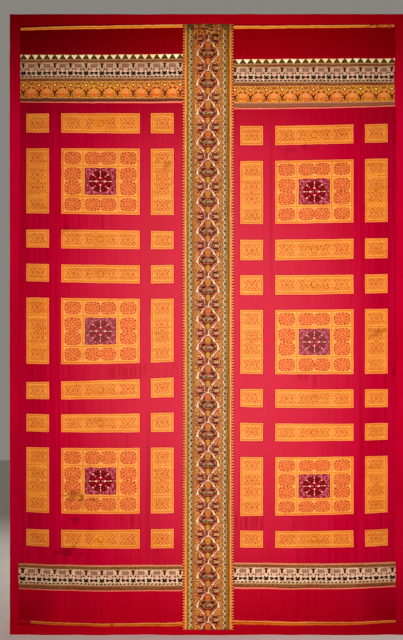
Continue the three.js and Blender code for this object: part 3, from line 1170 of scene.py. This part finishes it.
def leaves_by_crossing(loom, at_crossing, side, near, right):
    """Feathery leaves and curved stems about an egg on each side of the crossing."""
    fan_x, fan_y = side - 10, near + 6
    reach = loom.vector("LENGTH", loom.spot(fan_x, fan_y), output="Value")
    blades = loom.math("COSINE", loom.math("ARCTAN2", fan_y, fan_x) * 17) * 5
    fan = highest(abs(reach - 46) - 26, 8 - fan_x, abs(near + 8) - 44)
    loom.lay(FIELD.blade, highest(fan, blades), 4, 0.8)
    loom.lay(FIELD.blade_pale, highest(fan, 3 - blades), 3, 0.6)
    loom.lay(FIELD.leaf, lowest(
        leaf(at_crossing, 54, 9, 21, 8, 18), leaf(at_crossing, 52, -31, 18, 7.4, 21),
        stroke(at_crossing, 38, -37, 30, -16, 3), stroke(at_crossing, 30, -17, 28, 6, 3),
        stroke(at_crossing, 15, -26, 13, 4, 3), leaf(at_crossing, 72, -31, 7, 4, -30),
        disc(at_crossing, 79, 25, 4.6), disc(at_crossing, 86, -42, 4),
        leaf(at_crossing, 52, 36, 5, 9, 24), leaf(at_crossing, 88, -4, 3.4, 8),
        leaf(at_crossing, 40, -12, 9, 3.4),
    ), 3, 0.95)
    loom.lay(FIELD.coral, lowest(
        stroke(at_crossing, 31, -40, 22, -16, 2.4), stroke(at_crossing, 22, -17, 21, 6, 2.4),
        leaf(at_crossing, 50, -1, 13, 2.8, 18), disc(at_crossing, 52, 22, 4),
        leaf(at_crossing, 48, -40, 10, 2.8, 24),
    ), 2.5, 0.9)
    loom.lay(loom.mix(FIELD.egg_lilac, FIELD.egg_green, right), leaf(at_crossing, 65, -13, 15, 7.5), 3)
    loom.lay(FIELD.egg_light, leaf(at_crossing, 56, -13, 6, 3), 4, 0.7)


def dome_eye_and_bud(loom, from_strap, spot, exact):
    """A dome, wings, an eye, arcs and a bud between the straps."""
    loom.lay(FIELD.space, from_strap + 4, 4, 0.6)
    dome = disc(spot, 0, 38, 23)
    loom.lay(FIELD.dome_outline, dome - 6, 3, 0.9)
    loom.lay(loom.mix(FIELD.dome_gold, FIELD.dome_orange, loom.patches(8, 2, 0.5, 0.1)), dome, 3)
    loom.lay(FIELD.dome_mark, lowest(
        disc(spot, 0, 29, 4.4), ring(spot, 12, 43, 7, 1.8), disc(spot, 0, 50, 4),
        stroke(spot, 6, 20, 14, 29, 1.8),
    ), 3, 0.8)
    loom.lay(FIELD.dome_foot, leaf(spot, 0, 62, 19, 5), 3, 0.9)
    loom.lay(FIELD.wing, lowest(
        leaf(spot, 33, 76, 20, 7.6, 16), leaf(spot, 61, 68, 8, 4.4, -60),
        leaf(spot, 43, 108, 15, 5.6, -8), leaf(spot, 30, 122, 18, 5.6, -32),
        leaf(spot, 13, 110, 9, 4, 20), leaf(spot, 11, 128, 7, 4, 50),
    ), 3, 0.95)
    loom.lay(FIELD.wing_coral, lowest(
        leaf(spot, 54, 84, 8, 5, 20), stroke(spot, 60, 112, 36, 129, 2.4),
        leaf(spot, 22, 86, 10, 2.4, 10), leaf(spot, 30, 113, 10, 2.2, -20),
    ), 2.5, 0.95)
    eye = leaf(spot, 0, 97, 43, 8.5)
    loom.lay(FIELD.eye_outline, eye - 2.6, 2, 0.9)
    loom.lay(loom.mix(FIELD.eye_olive, FIELD.eye_tan, loom.patches(90, 90, 0.5, 0.1)), eye, 3)
    loom.lay(FIELD.eye_dark, lowest(leaf(exact, -12, 97, 12, 4.4), disc(exact, 10, 102, 4)), 3, 0.9)
    loom.lay(FIELD.eye_light, leaf(exact, 6, 92, 12, 4), 4, 0.7)
    bud = lowest(leaf(spot, 0, 148, 16, 18), lozenge(spot, 0, 162, 14, 16))
    loom.lay(FIELD.bud_outline, bud - 3, 3, 0.9)
    loom.lay(loom.mix(FIELD.bud_gold, FIELD.bud_orange, loom.patches(9, 1, 0.5, 0.1)), bud, 3)
    loom.lay(FIELD.bud_mark, lowest(stroke(spot, 0, 144, 0, 164, 2), leaf(spot, 10, 146, 5, 3, 60)),
             2, 0.8)
    loom.lay(FIELD.plum, lowest(leaf(exact, -10, 192, 6, 16), leaf(exact, 8, 184, 3.6, 9)), 3)


def straps(loom, from_strap, share, middle, down, near):
    """The straps, with dark outlines, and the left one passing under above each crossing."""
    strap = highest(abs(from_strap) - read_curve(loom, share, STRAP_HALF), 126 - loom.drop - middle * 0.6)
    loom.lay(FIELD.strap_outline, strap - 3.4, 2.5, 0.85)
    under = highest(strap, middle, BAND_REPEAT * 0.8 - down)
    rosy = lowest(abs(share - 0.7) - 0.1, highest(middle * 0.01, share - 0.28))
    loom.lay(loom.mix(FIELD.strap_cream, FIELD.strap_rosy, inside(rosy, 0.1)), strap)
    loom.lay(FIELD.knot, leaf(loom.spot(middle, near), 1, 1, 12, 10), 4, 0.85)
    loom.lay(FIELD.strap_under, under, 2, 0.9)


def darken_top_and_middle(loom, end=80, strength=0.25):
    """The band's dark first rows, and painted shade dulling its colours at its top and middle."""
    loom.lay(dye(40, 12, 8), loom.drop - end - loom.mottle(16, 16) * 100, 30, strength)
    # Painted shade: duller about the lamps' pool in the middle, and duller and browner at the top.
    wear = loom.mix((1, 1, 1, 1), (0.73, 0.75, 0.82, 1), faded(loom))
    wear = loom.mix(wear, (0.64, 0.58, 0.44, 1), inside(loom.drop - 280, 560))
    loom.colour = loom.vector("MULTIPLY", loom.colour, wear)


GUARD = dyes(
    olive=(140, 112, 58), tan=(190, 158, 102), stem=(244, 222, 172), leaf=(44, 34, 12),
    edge=(176, 112, 54),
)


def band_guard():
    """A narrow stripe with a pale running stem and dark green leaves."""
    loom = Loom("band_guard")
    middle = abs(loom.u) - 122.5 + loom.math("SIGN", loom.u) * 3.6
    down = loom.v
    pitch = BAND_REPEAT / 5
    across = middle * loom.math("SIGN", loom.u)
    stem = across + 6 + loom.math("SINE", down * (2 * math.pi / pitch)) * 6
    loom.ground(GUARD.olive, GUARD.tan, loom.mottle(100, 100), 0.5, 0.12)
    rubbed = loom.patches(60, 60, 0.5, 0.1) * 0.6 + 0.3
    tips = disc(loom.spot(across, from_repeat(down, pitch / 2)), 9, 0, 3.6)
    loom.lay(GUARD.stem, lowest(abs(stem) - 4.4, tips), 2.5, rubbed)
    bays, half_bays = from_repeat(down, pitch), from_repeat(down + pitch / 2, pitch)
    at_tick = loom.spot(across, from_repeat(down, pitch / 4))
    loom.lay(GUARD.leaf, lowest(
        leaf(loom.spot(across, bays), 3, 8, 7, 4, 40),
        leaf(loom.spot(across, half_bays), 4, -7, 7, 4, -40), disc(at_tick, 14, 0, 3.4),
        disc(at_tick, 3, 5, 2.6), disc(at_tick, -15, 3, 2.4),
    ), 2.5, loom.patches(50, 50, 0.5, 0.1) * 0.55 + 0.3)
    loom.lay(GUARD.edge, 17 - abs(middle), 2, 0.5)
    darken_top_and_middle(loom, 50, 0.7)
    return finish_cloth(loom, roughness=0.7, worn=0.3)


TOOTH_PITCH = 21

BORDER = dyes(
    orange=(232, 158, 60), orange_deep=(216, 134, 44), light_fleck=(255, 200, 132),
    soiled=(176, 100, 34), dark_fleck=(150, 86, 20), pale_line=(255, 196, 128), brown=(160, 92, 24),
    bead=(226, 150, 64), inner_line=(76, 36, 8), gap=(150, 16, 16), tooth=(255, 176, 108),
)


def band_border():
    """The orange border with teeth along its outer edge and a beaded brown line inside it."""
    loom = Loom("band_border")
    side = abs(loom.u)
    down = loom.v
    tooth = abs(from_repeat(down, TOOTH_PITCH))
    loom.ground(BORDER.orange, BORDER.orange_deep, loom.mottle(30, 8))
    loom.fleck(BORDER.light_fleck, 120, 120, 0.6, 0.1, 0.7)
    # Painted shade: darker and browner over the lower middle of the border.
    loom.lay(BORDER.soiled, abs(loom.drop - 3250) - 600, 500, 0.3)
    loom.fleck(BORDER.dark_fleck, 110, 110, 0.6, 0.1, 0.6)
    loom.lay(BORDER.pale_line, abs(side - 162) - 2.6, 2, 0.7)
    brown = abs(side - 150.5) - 5
    loom.lay(BORDER.brown, brown, 2.5)
    beads = abs(from_repeat(down, TOOTH_PITCH / 2)) - 2.4
    loom.lay(BORDER.bead, highest(beads, brown + 2.6), 2, 0.8)
    loom.lay(BORDER.inner_line, abs(side - 142) - 3, 2.4, 0.85)
    tip = tooth - 5 + (side - 176) * 0.3
    loom.lay(BORDER.gap, highest(170 - side, 0 - tip), 2.4)
    loom.lay(BORDER.tooth, highest(173 - side, tip), 2.4, 0.8)
    darken_top_and_middle(loom)
    return finish_cloth(loom, roughness=0.55, worn=0.25)


BACKING = dyes(
    red=(200, 4, 66), red_deep=(189, 3, 56), middle=(222, 4, 78), top_left=(146, 2, 10),
    top_right=(178, 2, 27), low_left=(204, 2, 38), low_right=(168, 2, 25), sheen=(225, 90, 100),
)


def backing():
    loom = Loom("backing_cloth")
    loom.ground(BACKING.red, BACKING.red_deep, loom.mottle(9, 5, detail=4), 0.5, 0.4)
    # Painted light and shade: brighter about the middle, and darker at the top and towards the hem, each
    # side to its own depth.
    loom.lay(BACKING.middle, 1350 - abs(loom.drop - 2850), 1500, 0.8)
    rightward = to_right(loom)
    loom.lay(loom.mix(BACKING.top_left, BACKING.top_right, rightward), loom.drop - 400, 800, 0.9)
    loom.lay(loom.mix(BACKING.low_left, BACKING.low_right, rightward), 4250 - loom.drop, 600, 0.8)
    return finish_cloth(loom, roughness=0.85, gloss=0.12, worn=0.1, tint=BACKING.sheen)


# Pieces.

# Heights of the motif maps of the zones that run all across a panel.
ZONE_HEIGHTS = {
    "triangles": 36, "stripe": 20, "figures": 114, "arcade": 120, "pale_line": 13, "gold_stripe": 27,
}


def dress_panel(plan):
    """What each zone of a panel is woven as."""
    bounds = [plan.left_edge(0)] + [across for _, across in plan.columns] + [plan.right_edge(0)]

    def dress(column, row):
        left, right = bounds[column.number] - plan.stem, bounds[column.number + 1] - plan.stem
        if row.zone in ZONE_HEIGHTS:
            return Dress(row.zone, left, right, 0, ZONE_HEIGHTS[row.zone])
        looks = {
            ("small", "small"): ("square", SQUARE_HALF_WIDTH, ROW_HALF_HEIGHT),
            ("main", "small"): ("bar", BAR_HALF_WIDTH, ROW_HALF_HEIGHT),
            ("small", "large"): ("column", SQUARE_HALF_WIDTH, BLOCK_HALF_HEIGHT),
            ("main", "large"): ("block", BAR_HALF_WIDTH, BLOCK_HALF_HEIGHT),
        }
        finish, half_width, half_height = looks.get((column.zone, row.zone), ("satin", 100, 100))
        return Dress(finish, -half_width, half_width, -half_height, half_height)

    return dress


def make_panel(plan, finishes):
    column_lines = [("satin", plan.left_edge)]
    column_lines += [(zone, lambda drop, x=across: x) for zone, across in plan.columns]
    column_lines += [("end", plan.right_edge)]
    row_lines = [("satin", lambda across: read_table(PANEL_TOP_EDGE, across))]
    for zone, drops in plan.rows:
        row_lines.append((zone, lambda across, d=drops: through_three(plan.stations, d, across)))
    row_lines.append(("end", lambda across: read_table(PANEL_HEM_EDGE, across)))
    panel = weave_sheet(
        plan.name,
        strips_between(column_lines, BACKING_DROP / 2, PANEL_STEP, BLOCK_RIM),
        strips_between(row_lines, plan.stations[1], PANEL_ROW_STEP, BLOCK_RIM),
        layer=1,
        dress=dress_panel(plan),
        finishes=finishes,
        creased=True,
    )
    spread_bake_map(panel, front_columns=2, back_share=0.5)
    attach(panel, "root")
    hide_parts(plan.node)
    return panel


def make_band(finishes):
    def across_at(distance):
        def place(drop):
            left, right = read_table(BAND_LEFT_EDGE, drop), read_table(BAND_RIGHT_EDGE, drop)
            return left + (right - left) * (distance + BAND_HALF) / (2 * BAND_HALF)

        return place

    distances = [distance for _, distance in BAND_COLUMNS] + [BAND_HALF]
    column_lines = [(zone, across_at(distance)) for zone, distance in BAND_COLUMNS]
    column_lines += [("end", across_at(BAND_HALF))]
    top, hem = read_table(PANEL_TOP_EDGE, 0), BAND_HEM_DROP
    count = round((hem - top) / BAND_ROW_STEP)
    drops = [top + (hem - top) * k / count for k in range(count + 1)]
    row_lines = [(number, lambda across, d=drop: d) for number, drop in enumerate(drops)]
    repeats = [read_table(STRAP_CROSSINGS, drop) * BAND_REPEAT for drop in drops]

    def dress(column, row):
        left, right = distances[column.number], distances[column.number + 1]
        return Dress(column.zone, left, right, repeats[row.number], repeats[row.number + 1])

    band = weave_sheet(
        "figured_centre_band",
        strips_between(column_lines, BACKING_DROP / 2, BAND_STEP),
        strips_between(row_lines, 0, 2 * BAND_ROW_STEP),
        layer=2,
        dress=dress,
        finishes=finishes,
    )
    spread_bake_map(band, front_columns=4, back_share=0.5)
    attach(band, "root")
    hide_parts("centre_band")
    return band


def make_backing(finishes):
    half = BACKING_WIDTH / 2
    column_lines = [("backing", lambda drop: -half), ("end", lambda drop: half)]
    row_lines = [("backing", lambda across: 0), ("end", lambda across: BACKING_DROP)]
    cloth = weave_sheet(
        "red_backing",
        strips_between(column_lines, 0, BACKING_STEP),
        strips_between(row_lines, 0, BACKING_ROW_STEP),
        layer=0,
        dress=lambda column, row: Dress("backing", -half, half, 0, BACKING_DROP),
        finishes=finishes,
    )
    spread_bake_map(cloth, front_columns=1, back_share=1)
    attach(cloth, "root")
    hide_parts("backing_cloth")
    return cloth


# Stage, light and camera.

VIEW_HEIGHT = 4.64
VIEW_CENTRE = Vector((-0.045, 0, -2.217))
CAMERA_DISTANCE = 11.0
SENSOR = 36.0
FLOOR_DROP = 4.62


def make_floor():
    bpy.ops.mesh.primitive_plane_add(size=30, location=(0, 0, -FLOOR_DROP))
    floor = bpy.context.object
    floor.name = "floor"
    loom = Loom("pale_floor")
    colour = loom.mix(dye(222, 218, 210), dye(206, 202, 194), loom.mottle(4, 4))
    shader = loom.add("ShaderNodeBsdfPrincipled", inputs={"Base Color": colour, "Roughness": 0.85})
    floor.data.materials.append(close_finish(loom, shader))


def add_lamp(name, kind, place, target, power, **settings):
    light = bpy.data.lights.new(name, kind)
    light.energy = power
    for setting, value in settings.items():
        setattr(light, setting, value)
    lamp = bpy.data.objects.new(name, light)
    lamp.location = place
    lamp.rotation_euler = (Vector(target) - Vector(place)).to_track_quat("-Z", "Y").to_euler()
    lamp.visible_camera = False
    bpy.context.collection.objects.link(lamp)
    return lamp


def light_scene():
    """A wide soft lamp on the whole cloth, near ones on its middle and its top, and one for the back."""
    wide = add_lamp("wide_lamp", "SPOT", place=(0.18, -6, -2.42), target=(0.18, 0, -2.42), power=830,
                    spot_size=2 * math.atan(3.4 / 6), spot_blend=1.0, shadow_soft_size=0.6)
    # The pool of a spot is round, and the hanging is taller than it is wide.
    wide.scale = (0.84, 1, 1)
    add_lamp("tall_lamp", "AREA", place=(0.15, -1.6, -2.65), target=(0.15, 0, -2.65), power=10,
             shape="RECTANGLE", size=0.5, size_y=3.2)
    add_lamp("top_lamp", "AREA", place=(0, -1.2, -0.2), target=(0, 0, -0.2), power=4.5,
             shape="RECTANGLE", size=2.8, size_y=0.3)
    add_lamp("back_lamp", "AREA", place=(1.5, 6, -1), target=(0, 0, -2.3), power=200,
             shape="RECTANGLE", size=3, size_y=3)
    world = bpy.data.worlds.new("studio")
    world.use_nodes = True
    world.node_tree.nodes["Background"].inputs["Color"].default_value = dye(216, 212, 206)
    world.node_tree.nodes["Background"].inputs["Strength"].default_value = 0.33
    bpy.context.scene.world = world


def place_camera():
    camera = bpy.data.cameras.new("camera")
    camera.sensor_width = SENSOR
    camera.lens = SENSOR * CAMERA_DISTANCE / VIEW_HEIGHT
    camera.clip_end = 100
    viewer = bpy.data.objects.new("camera", camera)
    viewer.location = VIEW_CENTRE + Vector((0, -CAMERA_DISTANCE, 0))
    viewer.rotation_euler = (math.radians(90), 0, 0)
    bpy.context.collection.objects.link(viewer)
    bpy.context.scene.camera = viewer


place_camera()
silk_reverse = reverse()
panel_finishes = {
    "satin": satin(),
    "square": gold_square(),
    "bar": gold_bar(),
    "column": gold_column(),
    "block": gold_block(),
    "triangles": triangles(),
    "figures": figures(),
    "arcade": arcade(),
    "stripe": stripe(),
    "pale_line": pale_line(),
    "gold_stripe": gold_stripe(),
    "reverse": silk_reverse,
}
backing_finish = backing()
red_backing = make_backing({"backing": backing_finish})
left_panel = make_panel(LEFT_PANEL, panel_finishes)
right_panel = make_panel(RIGHT_PANEL, panel_finishes)
centre_band = make_band({
    "field": band_field(),
    "guard": band_guard(),
    "border": band_border(),
    "reverse": silk_reverse,
})

make_floor()
light_scene()
bpy.context.scene.view_settings.view_transform = "Standard"
bpy.context.scene.view_settings.look = "High Contrast"
